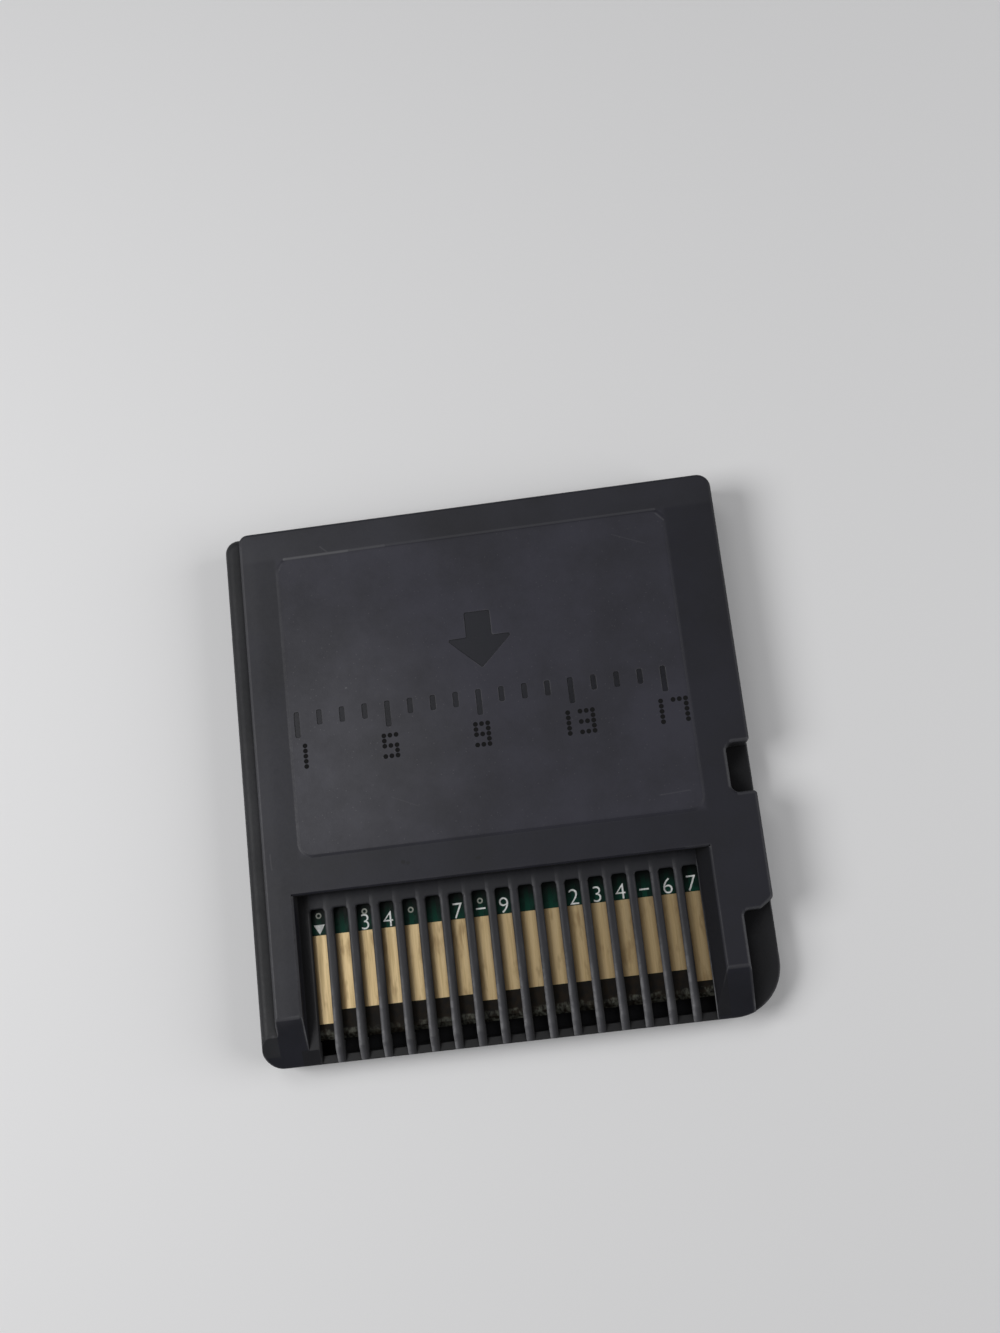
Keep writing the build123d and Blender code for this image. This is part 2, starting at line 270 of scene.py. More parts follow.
shellLook = {
    "faceColour": (0.0064, 0.0065, 0.0122, 1),
    "panelColour": (0.0198, 0.0194, 0.0290, 1),
    "sideColour": (0.0046, 0.0050, 0.0092, 1),
    # painted shade on the floors of the step and the notch
    "pocketShadeColour": (0.0030, 0.0032, 0.0050, 1),
    # painted light: the left ledge's own tone, set for how the key light falls on it
    "ledgeLitColour": (0.0110, 0.0115, 0.0140, 1),
    "stripColour": (0.0052, 0.0056, 0.0090, 1),       # the plate between the window's edge and the slots: a darker copy of the face colour, as painted shade, over the deeper painted shade there
    # pale: for wear, and for painted light, painted sheen and painted highlights
    "wearAndPaintedLightColour": (0.105, 0.105, 0.112, 1),
    "glintColour": (0.215, 0.215, 0.225, 1),          # painted highlight on the ribs' left edges, and wear at their lower ends
    # painted shade: darkens creases, hollows, the ribs' far sides, the window's walls and the end bar
    "paintedShadeColour": (0.0025, 0.0025, 0.0032, 1),
    "inkColour": (0.0016, 0.0016, 0.0018, 1),
    "faceRoughness": 0.55,
    "panelRoughness": 0.62,
    "sideRoughness": 0.54,
    "pocketRoughness": 0.62,
    "markRoughness": 0.40,
    "roughGrain": 0.04,                               # how much the grain and the patches add or take
    "roughPatches": 0.05,
    "patchNoise": (110.0, 4.0, 0.6),
    "specular": 0.42,
    "edgeRounding": 0.05 * mm,

    # face, panel, pockets and ledge
    "faceDrop": (0.30 * mm, 0.02 * mm),               # from its top down: no longer face, still wholly face
    "panelRaise": 0.06 * mm,
    "panelDrop": (0.024 * mm, 0.006 * mm),
    "panelSpan": ((-12.95 * mm, 13.25 * mm), (-4.65 * mm, 15.5 * mm)),
    "panelBorder": (-0.15 * mm, 0.40 * mm),
    "markSpan": ((-12.7 * mm, 12.6 * mm), (2.9 * mm, 10.4 * mm)),
    "markDepth": 0.04 * mm,
    "markSlack": 0.006 * mm,
    "seam": 1.85 * mm,
    "seamSlack": 0.04 * mm,
    "pocketSide": 14.3 * mm,                          # the step and the notch lie to the right of this
    "ledgeSide": -15.36 * mm,
    "ledgeLevels": (2.5 * mm, 3.2 * mm),

    # grain, painted sheen, painted light and painted shade, and wear
    "grainScale": 9000.0,
    "grainDepth": 0.012 * mm,
    "grainShares": (0.8, 0.2),                        # added on the panel, and everywhere
    # painted sheen: a lighter patch on the panel round a point on its left, where the key light's sheen
    # falls
    "sheenAt": (-11.5 * mm, 1.2 * mm, 3.8 * mm),
    "sheenReach": (14.0 * mm, 2.0 * mm),
    "sheen": 0.225,
    "speckles": (1.4, 0.18, 0.04),                    # in the painted sheen, on the panel, everywhere
    "lightening": 0.040,                                   # painted light: lighter on the left of the face, where the key light falls, less towards the right
    "lighteningSpan": (-16.0 * mm, 9.0 * mm),
    "lighteningEnd": (15.3 * mm, 15.6 * mm, 0.0, 0.055),   # lighter on the frame beyond the panel, at the grip end
    "cloudNoise": (170.0, 5.0, 0.62),
    "cloudRange": (0.74, 1.26),
    "shadeReach": 1.6 * mm,
    "shadeRange": (0.85, 0.45),
    "shade": 0.9,
    "shadeDulling": (0.5, 0.3),                       # in hollows, and on the strip above the slots
    "creviceShade": 0.5,
    "rubTurn": 0.5,
    "rubs": 0.10,
    "edgeReach": 0.16 * mm,
    "edgeSpan": (-6.0 * mm, -13.0 * mm, 0.6, 1.0),    # edges are worn more towards the contact end

    # ribs and the window round them
    "ribEnds": (-12.85 * mm, 12.2 * mm),              # outer sides of the first and the last slot
    "ribLevels": (2.06 * mm, 2.62 * mm),
    "ribRounding": 0.16 * mm,
    "ribWear": (-8.0 * mm, -16.5 * mm, 0.07, 0.21),
    "ribTipWear": (-15.6 * mm, -16.4 * mm, 0.0, 0.20),
    "slotWidth": 1.0 * mm,
    "slotTop": -7.85 * mm,
    "stripBlend": 0.5 * mm,
    "stripCover": 0.85,
    # painted highlight along each rib's left edge, the side the key light falls on; at the lower ends also
    # wear
    "glintWidth": (0.30 * mm, 0.05 * mm),             # from a rib's left side
    "glintNoise": (2500.0, 3.0),
    "glintPatches": (0.42, 0.62, 0.5, 1.0),
    "glintLow": (-11.0 * mm, -16.0 * mm, 0.10, 0.80),
    "glintHigh": (-10.5 * mm, -8.6 * mm, 0.0, 0.22),
    "glintDrop": (0.22 * mm, 0.10 * mm),              # below the ribs' tops
    "glintTip": (-15.6 * mm, -16.2 * mm),
    "glintFade": (0.7 * mm, -0.1 * mm),               # from the slots' tops
    "farSide": (0.22 * mm, 0.50 * mm),                # the side of a rib that the key light misses
    "farSideShade": (-11.0 * mm, -14.5 * mm, 0.15, 0.75),
    "farSideDulling": 0.4,
    "leftWall": (-1.15 * mm, 0.15 * mm),              # from the first slot's left side
    "leftWallBlend": 0.20 * mm,
    "leftWallShade": 0.7,
    "rightWall": ((12.2 * mm, 13.0 * mm), (-17.3 * mm, -6.7 * mm)),
    "rightWallDrop": 0.10 * mm,
    "rightWallShade": 0.50,
    "rightWallDulling": 0.35,
    # painted shade: the end bar below the slots takes the shade colour whole
    "barStart": -16.9 * mm,

    # numbers of the contacts under the long ticks, inked in dots
    "numbers": (1, 5, 9, 13, 17),
    "numberFoot": 1.25 * mm,
    "dotPitch": (0.40 * mm, 0.34 * mm),               # columns and rows of ink dots
    "dotRadius": 0.168 * mm,
    "dotCore": 0.85,                                  # share of the radius that is full ink
    "figures": {                                      # rows of dots from the top down
        "1": "..# ..# ..# ..# ..#",
        "3": "### ..# ### ..# ###",
        "5": "### #.. ### ..# ###",
        "7": "### ..# ..# ..# ..#",
        "9": "### #.# ### ..# ###",
    },

    "scuffsAndPaintedHighlights": [                                       # scuffs, and painted highlights along some edges: start, end, width in mm, strength
        # painted highlight along the panel's top border bevel
        ((-12.3, 15.40, 3.76), (-8.0, 15.42, 3.77), 0.14, 0.85),
        ((-8.0, 15.42, 3.77), (-5.5, 15.44, 3.77), 0.14, 0.50),
        ((-5.5, 15.44, 3.77), (12.6, 15.46, 3.78), 0.13, 0.28),
        ((-12.75, 14.6, 3.76), (-12.5, 15.1, 3.76), 0.12, 0.10),
        ((12.65, 15.15, 3.76), (13.1, 14.65, 3.76), 0.10, 0.26),
        ((-9.81, 15.95, 3.74), (-9.37, 15.54, 3.74), 0.07, 0.22),
        ((10.42, -3.38, 3.8), (12.33, -3.29, 3.8), 0.06, 0.16),
        ((-14.79, -4.14, 3.74), (-14.74, -5.11, 3.74), 0.08, 0.22),
        ((-8.92, 6.09, 3.8), (-8.88, 6.10, 3.8), 0.09, 0.60),
        ((9.6, 14.1, 3.8), (11.7, 13.2, 3.8), 0.05, 0.12),
        ((-6.6, -1.4, 3.8), (-4.9, -2.2, 3.8), 0.05, 0.12),
        ((-15.3, -14.5, 3.74), (-13.8, -14.45, 3.74), 0.18, 0.40),
        ((-15.2, -13.2, 3.70), (-15.2, -14.4, 3.70), 0.16, 0.28),
        ((-16.3, -15.45, 2.9), (-15.6, -15.45, 3.05), 0.16, 0.30),
        # painted highlight along the frame's left edge, and a wide painted glow beside it
        ((-15.26, 16.6, 3.72), (-15.26, -14.3, 3.72), 0.20, 0.26),
        ((-15.10, 16.4, 3.74), (-15.10, -14.3, 3.74), 1.20, 0.06),
        # painted highlight along the ledge's outer edge
        ((-16.44, 16.4, 2.95), (-16.44, -15.3, 2.95), 0.20, 0.12),
        # painted highlights along the window's right and top edges
        ((13.1, -7.0, 3.72), (13.1, -14.2, 3.72), 0.10, 0.16),
        ((13.0, -6.85, 3.72), (11.6, -6.85, 3.72), 0.10, 0.16),
        ((13.2, -14.42, 3.74), (14.5, -14.42, 3.74), 0.18, 0.24),
        ((16.40, -0.52, 3.70), (15.35, -0.52, 3.70), 0.20, 0.32),
        ((14.88, -1.0, 3.70), (14.88, -3.3, 3.70), 0.18, 0.26),
        ((15.35, -3.84, 3.70), (16.40, -3.84, 3.70), 0.18, 0.26),
        ((16.42, -10.52, 3.70), (15.72, -11.03, 3.70), 0.20, 0.36),
        ((15.68, -11.06, 3.70), (14.80, -11.08, 3.70), 0.20, 0.36),
        ((14.50, -11.4, 3.70), (14.50, -14.3, 3.70), 0.15, 0.28),
        ((14.50, -14.4, 3.70), (14.50, -17.3, 2.20), 0.15, 0.18),
    ],
    "pits": [
        ((-6.30, -5.60, 3.74), (-6.24, -5.62, 3.74), 0.17, 0.7),
        ((-5.99, -5.71, 3.74), (-5.94, -5.71, 3.74), 0.15, 0.6),
        ((-1.55, -5.93, 3.74), (-1.40, -5.93, 3.74), 0.15, 0.6),
    ],
}
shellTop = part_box("rear_shell")[1].z


def strokes(tree, where, lines):
    total = None
    for start, end, width, strength in lines:
        made = place(tree, lineMark, Vector=where, Start=Vector(start) * mm, End=Vector(end) * mm,
                     Width=width * mm)
        part = times(tree, made["Mask"], strength)
        total = part if total is None else calc(tree, "MAXIMUM", total, part)
    return total


def figureBits(rows):
    marks = "".join(reversed(rows.split()))           # lowest row first
    return float(sum(2 ** i for i, mark in enumerate(marks) if mark == "#"))


def inkDots(tree, across, along, look):
    (wide, tall), radius = look["dotPitch"], look["dotRadius"]
    first = padTop(look["numbers"][0])[0]
    column = calc(tree, "DIVIDE", calc(tree, "SUBTRACT", across, first), wide)
    row = calc(tree, "DIVIDE", calc(tree, "SUBTRACT", along, look["numberFoot"]), tall)
    wholeColumn, wholeRow = calc(tree, "ROUND", column), calc(tree, "ROUND", row)
    aside = times(tree, calc(tree, "SUBTRACT", column, wholeColumn), wide)
    above = times(tree, calc(tree, "SUBTRACT", row, wholeRow), tall)
    away = calc(tree, "SQRT", calc(tree, "MULTIPLY_ADD", aside, aside, times(tree, above, above)))

    pattern = look["figures"]["1"].split()
    lastRow, columns = len(pattern) - 1, len(pattern[0])
    step = columns + 1                                # one empty column between figures
    slack = 0.1                                       # for comparing whole numbers
    bits = starts = 0.0
    for number in look["numbers"]:
        figures = str(number)
        middle = round((padTop(number)[0] - first) / wide)
        for i, figure in enumerate(figures):
            start = middle - (step * len(figures) - 2) // 2 + step * i
            here = within(tree, wholeColumn, start - slack, start + columns - 1 + slack)
            bits = calc(tree, "MULTIPLY_ADD", here, figureBits(look["figures"][figure]), bits)
            starts = calc(tree, "MULTIPLY_ADD", here, float(start), starts)
    figureRow = calc(tree, "MINIMUM", calc(tree, "MAXIMUM", wholeRow, 0.0), float(lastRow))
    spot = calc(tree, "MULTIPLY_ADD", figureRow, float(columns), calc(tree, "SUBTRACT", wholeColumn, starts))
    shifted = calc(tree, "FLOOR", calc(tree, "DIVIDE", bits, calc(tree, "POWER", 2.0, spot)))
    inked = times(tree, calc(tree, "FLOORED_MODULO", shifted, 2.0),
                  within(tree, wholeRow, -slack, lastRow + slack))
    return times(tree, inked, ramp(tree, away, radius, look["dotCore"] * radius))


# masks of the face and what is in it
def faceZones(tree, at, look):
    across, along, height = at
    faceTop = shellTop - look["panelRaise"]
    onFace = ramp(tree, height, *(faceTop - drop for drop in look["faceDrop"]))
    onPanel = ramp(tree, height, *(shellTop - drop for drop in look["panelDrop"]))
    inside = None
    for value, (low, high) in zip((across, along), look["panelSpan"]):
        near = calc(tree, "MINIMUM", calc(tree, "SUBTRACT", value, low), calc(tree, "SUBTRACT", high, value))
        inside = near if inside is None else calc(tree, "MINIMUM", inside, near)
    atMarks = calc(tree, "COMPARE", height, shellTop - look["markDepth"], look["markSlack"])
    atSeam = calc(tree, "COMPARE", height, look["seam"], look["seamSlack"])
    return {
        "face": onFace,
        "panel": onPanel,
        "softPanel": times(tree, ramp(tree, inside, *look["panelBorder"]), onFace),
        "sunk": times(tree, inSpans(tree, (across, along), look["markSpan"]), atMarks),
        "ink": times(tree, inkDots(tree, across, along, look), onPanel),
        "pocket": times(tree, atSeam, calc(tree, "GREATER_THAN", across, look["pocketSide"])),
        "ledge": times(tree, calc(tree, "LESS_THAN", across, look["ledgeSide"]),
                       within(tree, height, *look["ledgeLevels"])),
    }


# masks of the ribs and of the window's walls: rib wear, painted highlights and painted shade
def ribZones(tree, where, at, look):
    across, along, height = at
    (ribLeft, ribRight), (ribLow, ribHigh) = look["ribEnds"], look["ribLevels"]
    slotTop = look["slotTop"]
    amongRibs = within(tree, across, ribLeft, ribRight)
    onRib = times(tree, amongRibs, within(tree, height, ribLow, ribHigh))
    worn = calc(tree, "ADD", ramp(tree, along, *look["ribWear"]), ramp(tree, along, *look["ribTipWear"]))

    # painted highlight along each rib's left edge, the side the key light falls on; at the lower ends also
    # wear
    fromRib = calc(tree, "SUBTRACT", across, ribLeft + look["slotWidth"])
    fromRib = calc(tree, "WRAP", fromRib, contactPitch, 0.0)
    patchy = ramp(tree, noise(tree, where, *look["glintNoise"]), *look["glintPatches"])
    rubbedAndPaintedLight = calc(tree, "MAXIMUM", ramp(tree, along, *look["glintLow"]),
                  ramp(tree, along, *look["glintHigh"]))
    onEdge = calc(tree, "MAXIMUM", ramp(tree, height, *(ribHigh - drop for drop in look["glintDrop"])),
                  ramp(tree, along, *look["glintTip"]))
    fade = ramp(tree, along, *(slotTop + reach for reach in look["glintFade"]))
    glint = times(tree, ramp(tree, fromRib, *look["glintWidth"]), patchy, rubbedAndPaintedLight, onEdge, fade)

    wallTop = shellTop - look["panelRaise"] - look["rightWallDrop"]
    belowRib = calc(tree, "LESS_THAN", height, ribLow)
    return {
        "rib": onRib,
        "ribWorn": times(tree, onRib, worn),
        "glint": times(tree, onRib, glint),
        "farSide": times(tree, onRib, ramp(tree, fromRib, *look["farSide"]),
                         ramp(tree, along, *look["farSideShade"])),
        "strip": times(tree, onRib, ramp(tree, along, slotTop - look["stripBlend"], slotTop)),
        "leftWall": times(tree, ramp(tree, across, ribLeft + look["leftWallBlend"], ribLeft),
                          calc(tree, "LESS_THAN", height, ribHigh),
                          within(tree, across, *(ribLeft + reach for reach in look["leftWall"]))),
        "rightWall": times(tree, calc(tree, "LESS_THAN", height, wallTop),
                           inSpans(tree, (across, along), look["rightWall"])),
        "bar": times(tree, amongRibs, belowRib, calc(tree, "LESS_THAN", along, look["barStart"])),
    }


def shellEffects(tree, where, at, look):
    edges = place(tree, edgeWearAndCreviceShade, Vector=where, Reach=look["edgeReach"])
    fromHaze = vectorCalc(tree, "DISTANCE", where, look["sheenAt"], "Value")
    return {
        "grain": place(tree, mouldGrain, Vector=where, Scale=look["grainScale"]),
        "rubs": place(tree, rubMarks, Vector=where, Turn=look["rubTurn"])["Marks"],
        "edge": times(tree, edges["Edge"], ramp(tree, at[1], *look["edgeSpan"])),
        "crevice": edges["Crevice"],
        "cloudy": ramp(tree, noise(tree, where, *look["cloudNoise"]), *noiseBulk, *look["cloudRange"]),
        "shaded": ramp(tree, openness(tree, look["shadeReach"]), *look["shadeRange"]),
        "sheenPatch": times(tree, ramp(tree, fromHaze, *look["sheenReach"]), look["sheen"]),
    }


def shellColour(tree, where, at, zones, effects, look):
    worn, hollow, sheenPatch = look["wearAndPaintedLightColour"], look["paintedShadeColour"], effects["sheenPatch"]
    # painted light on the face's left, and a lighter band at the grip end
    lightening = calc(tree, "ADD", ramp(tree, at[0], *look["lighteningSpan"], look["lightening"], 0.0),
                 ramp(tree, at[1], *look["lighteningEnd"]))
    inHaze, onPanel, everywhere = look["speckles"]
    # dust specks on the panel, shown more strongly in the painted sheen
    dustAndSheen = times(tree, zones["panel"], calc(tree, "MULTIPLY_ADD", sheenPatch, inHaze, onPanel))
    speckled = times(tree, effects["grain"]["Speckle"], calc(tree, "ADD", dustAndSheen, everywhere))
    colour = mixColour(tree, zones["face"], look["sideColour"], look["faceColour"])
    colour = layered(tree, colour, [
        (zones["softPanel"], look["panelColour"]),
        # painted light on the face's left, and lighter at the grip end
        (times(tree, lightening, zones["face"]), worn),
        # painted sheen on the panel
        (times(tree, sheenPatch, zones["panel"]), worn),
        (zones["sunk"], look["sideColour"]),
        # painted shade in the pockets
        (zones["pocket"], look["pocketShadeColour"]),
        # the ledge's painted-light tone
        (zones["ledge"], look["ledgeLitColour"]),
    ])
    colour = mixColour(tree, 1.0, colour, effects["cloudy"], "MULTIPLY")
    return layered(tree, colour, [
        (speckled, worn),
        (times(tree, effects["rubs"], look["rubs"]), worn),
        # painted shade in creases and where the surroundings close in
        (times(tree, effects["crevice"], look["creviceShade"]), hollow),
        (times(tree, effects["shaded"], look["shade"]), hollow),
        (zones["ink"], look["inkColour"]),
        (strokes(tree, where, look["pits"]), look["inkColour"]),
        (effects["edge"], worn),
        # scuffs, and painted highlights along some edges
        (strokes(tree, where, look["scuffsAndPaintedHighlights"]), worn),
        (zones["ribWorn"], worn),
        # painted shade on the ribs' far sides and on the strip, painted highlights on the ribs' left edges,
        # painted shade by the window's walls and on the end bar
        (zones["farSide"], hollow),
        (times(tree, zones["strip"], look["stripCover"]), look["stripColour"]),
        (zones["glint"], look["glintColour"]),
        (times(tree, zones["rightWall"], look["rightWallShade"]), hollow),
        (times(tree, zones["leftWall"], look["leftWallShade"]), hollow),
        (zones["bar"], hollow),
    ])


def shellRoughness(tree, where, zones, effects, look):
    face, side = look["faceRoughness"], look["sideRoughness"]
    grain, patches = look["roughGrain"], look["roughPatches"]
    pockets = calc(tree, "MAXIMUM", zones["pocket"], zones["ledge"])
    dulling = ramp(tree, zones["strip"], 0.0, 1.0, *look["shadeDulling"], False)
    rough = ramp(tree, zones["face"], 0.0, 1.0, side, face, False)
    changes = [
        times(tree, zones["panel"], look["panelRoughness"] - face),
        times(tree, zones["sunk"], look["markRoughness"] - face),
        ramp(tree, effects["grain"]["Height"], *noiseBulk, -grain, grain),
        ramp(tree, noise(tree, where, *look["patchNoise"]), *noiseBulk, -patches, patches),
        times(tree, pockets, look["pocketRoughness"] - side),
        times(tree, effects["shaded"], dulling),
        times(tree, zones["farSide"], look["farSideDulling"]),
    ]
    for change in changes:
        rough = calc(tree, "ADD", rough, change)
    rough = calc(tree, "MULTIPLY_ADD", zones["rightWall"], look["rightWallDulling"], rough)
    return calc(tree, "ADD", rough, zones["ink"], clamp=True)


def shellMaterial(look):
    material, tree, shader, where = newMaterial("charcoalShell")
    parts = addNode(tree, "ShaderNodeSeparateXYZ", {0: where}).outputs
    at = parts["X"], parts["Y"], parts["Z"]
    zones = {**faceZones(tree, at, look), **ribZones(tree, where, at, look)}
    effects = shellEffects(tree, where, at, look)
    radius = calc(tree, "MULTIPLY_ADD", zones["rib"], look["ribRounding"], look["edgeRounding"])
    rounded = addNode(tree, "ShaderNodeBevel", {"Radius": radius}, samples=6).outputs["Normal"]
    grainShare = calc(tree, "MULTIPLY_ADD", zones["panel"], *look["grainShares"])
    grain = times(tree, effects["grain"]["Height"], grainShare)
    feed(tree, shader,
         colour=shellColour(tree, where, at, zones, effects, look),
         roughness=shellRoughness(tree, where, zones, effects, look),
         normal=bumped(tree, grain, look["grainDepth"], Normal=rounded))
    shader.inputs["Specular IOR Level"].default_value = look["specular"]
    return material


shell = shellMaterial(shellLook)
for name in ("rear_shell", "front_shell"):
    wear(name, shell)
print("shells finished")


# gold contacts

goldLook = {
    "bright": (0.715, 0.556, 0.318, 1),
    "dull": (0.545, 0.414, 0.223, 1),
    # darkened gold: for rub stains, and for painted shade and painted shadow
    "rubbedAndPaintedLight": (0.22, 0.138, 0.062, 1),
    "roughness": (0.42, 0.54),
    "shadeReach": 0.5 * mm,
    "shadeRange": (0.80, 0.50),
    "shade": 0.6,
    "streakNoise": (5200.0, 3.0, 0.6),
    "streakStretch": (1.0, 0.045, 1.0),
    "streakRange": (0.35, 0.70),
    "streakDepth": 0.004 * mm,
    "stainNoise": (1400.0, 3.0, 0.6),
    "stainStretch": (1.0, 0.3, 1.0),
    "stainRange": (0.52, 0.70),
    "stains": 0.50,
    "ribShadow": 0.36,           # painted shadow of the rib on the left side of each contact
    "ribShadowSpan": (0.10 * mm, 0.65 * mm),
    "rightwardShade": 0.30,            # painted shade: darkest on the last contact, growing from the third one
    "rightwardShadeStart": -9.0 * mm,
}


def goldMaterial(look):
    material, tree, shader, where = newMaterial("contactGold")
    streaks = noise(tree, stretched(tree, where, look["streakStretch"]), *look["streakNoise"])
    stains = noise(tree, stretched(tree, where, look["stainStretch"]), *look["stainNoise"])
    across = addNode(tree, "ShaderNodeSeparateXYZ", {0: where}).outputs["X"]
    fromSide = calc(tree, "SUBTRACT", across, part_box(padNames[0])[0].x)
    fromSide = calc(tree, "WRAP", fromSide, contactPitch, 0.0)
    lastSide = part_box(padNames[-1])[1].x
    # rub stains, then painted shade near the ribs, the ribs' painted shadow on each contact's left side, and
    # painted shade towards the last contact
    amounts = [
        ramp(tree, stains, *look["stainRange"], 0.0, look["stains"]),
        ramp(tree, openness(tree, look["shadeReach"]), *look["shadeRange"], 0.0, look["shade"]),
        ramp(tree, fromSide, *look["ribShadowSpan"], look["ribShadow"], 0.0),
        ramp(tree, across, look["rightwardShadeStart"], lastSide, 0.0, look["rightwardShade"], False),
    ]
    colour = mixColour(tree, ramp(tree, streaks, *look["streakRange"]), look["bright"], look["dull"])
    feed(tree, shader,
         colour=layered(tree, colour, [(amount, look["rubbedAndPaintedLight"]) for amount in amounts]),
         roughness=ramp(tree, streaks, *noiseBulk, *look["roughness"]),
         normal=bumped(tree, streaks, look["streakDepth"]))
    shader.inputs["Metallic"].default_value = 1.0
    return material


gold = goldMaterial(goldLook)
for name in padNames:
    wear(name, gold)
print("contacts finished,", len(padNames))


# the circuit board

boardLook = {
    "green": (0.0018, 0.038, 0.024, 1),
    "deepGreen": (0.0012, 0.018, 0.012, 1),
    "shade": (0.0006, 0.0016, 0.0012, 1),
    "bare": (0.012, 0.0072, 0.0030, 1),
    "bareDark": (0.005, 0.004, 0.003, 1),
    "fibre": (0.22, 0.23, 0.19, 1),
    "roughness": (0.38, 0.62),          # of the lacquer and of the bare strip
    "specular": 0.16,
    "weaveNoise": (2600.0, 2.0),
    "weaveRange": (0.35, 0.65),
    "weaveDepth": 0.01 * mm,
    "bareStrip": 1.75 * mm,
    "bareBlend": 0.05 * mm,
    "cutEdge": 0.56 * mm,
    "cutBlend": 0.12 * mm,
    "tearNoise": (1500.0, 2.0),
    "tearDepth": 0.5 * mm,
    "fleckNoise": (4600.0, 3.0),
    "fleckStretch": (1.0, 0.6, 1.0),
    "fleckRange": (0.36, 0.70),
    "fleckPatchNoise": (420.0, 1.0),
    "fleckPatches": (0.36, 0.60, 0.16, 0.42),
    "shadeReach": 0.9 * mm,
    "shadeRange": (0.68, 0.30),
    "topShade": (1.6 * mm, 0.95),       # how far down from the slots' tops, and how much
}
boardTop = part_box("circuit_board")[1].z


def topShade(tree, along, look):
    (reach, most), slotTop = look["topShade"], shellLook["slotTop"]
    return ramp(tree, along, slotTop - reach, slotTop, 0.0, most)


def frayedCut(tree, where, fromEnd, look):
    tear, edge = look["tearDepth"], look["cutEdge"]
    torn = calc(tree, "MULTIPLY_ADD", noise(tree, where, *look["tearNoise"]), tear,
                calc(tree, "SUBTRACT", fromEnd, tear / 2))
    flecks = noise(tree, stretched(tree, where, look["fleckStretch"]), *look["fleckNoise"])
    patches = ramp(tree, noise(tree, where, *look["fleckPatchNoise"]), *look["fleckPatches"])
    return times(tree, ramp(tree, torn, edge + look["cutBlend"], edge),
                 ramp(tree, flecks, *look["fleckRange"]), patches)


def boardMaterial(look):
    material, tree, shader, where = newMaterial("boardLacquer")
    along = addNode(tree, "ShaderNodeSeparateXYZ", {0: where}).outputs["Y"]
    fromEnd = calc(tree, "SUBTRACT", along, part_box("circuit_board")[0].y)
    weave = noise(tree, where, *look["weaveNoise"])
    bare = ramp(tree, fromEnd, look["bareStrip"] + look["bareBlend"], look["bareStrip"])
    colour = mixColour(tree, ramp(tree, weave, *look["weaveRange"]), look["green"], look["deepGreen"])
    colour = layered(tree, colour, [
        (bare, mixColour(tree, ramp(tree, weave, *noiseBulk), look["bare"], look["bareDark"])),
        (frayedCut(tree, where, fromEnd, look), look["fibre"]),
        (ramp(tree, openness(tree, look["shadeReach"]), *look["shadeRange"]), look["shade"]),
        (topShade(tree, along, look), look["shade"]),
    ])
    feed(tree, shader, colour=colour,
         roughness=ramp(tree, bare, 0.0, 1.0, *look["roughness"], False),
         normal=bumped(tree, weave, look["weaveDepth"]))
    shader.inputs["Specular IOR Level"].default_value = look["specular"]
    return material


wear("circuit_board", boardMaterial(boardLook))


# print, plated holes and tracks on the board

weldGap = 0.0002 * mm          # corners nearer than this become one


def slab(bm, corners, low, high):
    under = [bm.verts.new((x, y, low)) for x, y in corners]
    over = [bm.verts.new((x, y, high)) for x, y in corners]
    bm.faces.new(list(reversed(under)))
    bm.faces.new(over)
    for i in range(len(corners)):
        j = (i + 1) % len(corners)
        bm.faces.new([under[i], under[j], over[j], over[i]])


def rectangle(x, y, width, height):
    return [(x - width / 2, y - height / 2), (x + width / 2, y - height / 2),
            (x + width / 2, y + height / 2), (x - width / 2, y + height / 2)]


def finishPiece(bm, name, material):
    mesh = bpy.data.meshes.new(name)
    bmesh.ops.remove_doubles(bm, verts=bm.verts, dist=weldGap)
    bmesh.ops.recalc_face_normals(bm, faces=bm.faces)
    bm.to_mesh(mesh)
    bm.free()
    piece = bpy.data.objects.new(name, mesh)
    bpy.context.scene.collection.objects.link(piece)
    mesh.materials.append(material)
    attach(piece, "root")


printLook = {
    "thickness": 0.012 * mm,
    "digitHeight": 1.0 * mm,
    "fontShare": 0.69,         # the built-in font's figures are this much of its size
    "digitThinning": 0.016 * mm,
    "digitGap": 0.05 * mm,     # between a digit and the top of its pad
    "digits": {3: "3", 4: "4", 7: "7", 9: "9", 12: "2", 13: "3", 14: "4", 16: "6", 17: "7"},
    "dashes": (8, 15),
    "dashSize": (0.62 * mm, 0.10 * mm),
    "arrowPad": 1,
    "arrowSize": (0.72 * mm, 0.62 * mm),
    "ink": (0.86, 0.88, 0.86, 1),
    "inkNoise": (6000.0, 2.0),
    "inkRange": (0.72, 1.0),
    "roughness": 0.6,
}


def addDigit(bm, text, x, y, look):
    curve = bpy.data.curves.new("digit", "FONT")
    curve.body = text
    curve.align_x = "CENTER"
    curve.size = look["digitHeight"] / look["fontShare"]
    curve.extrude = look["thickness"] / 2
    curve.offset = -look["digitThinning"]
    carrier = bpy.data.objects.new("digit", curve)
    mesh = bpy.data.meshes.new_from_object(carrier)
    mesh.transform(Matrix.Translation((x, y, boardTop + look["thickness"] / 2)))
    bm.from_mesh(mesh)
    bpy.data.objects.remove(carrier)
    bpy.data.curves.remove(curve)
    bpy.data.meshes.remove(mesh)


def inkMaterial(look):
    material, tree, shader, where = newMaterial("boardInk")
    patch = ramp(tree, noise(tree, where, *look["inkNoise"]), *noiseBulk, *look["inkRange"])
    feed(tree, shader, colour=mixColour(tree, 1.0, look["ink"], patch, "MULTIPLY"))
    shader.inputs["Roughness"].default_value = look["roughness"]
    return material


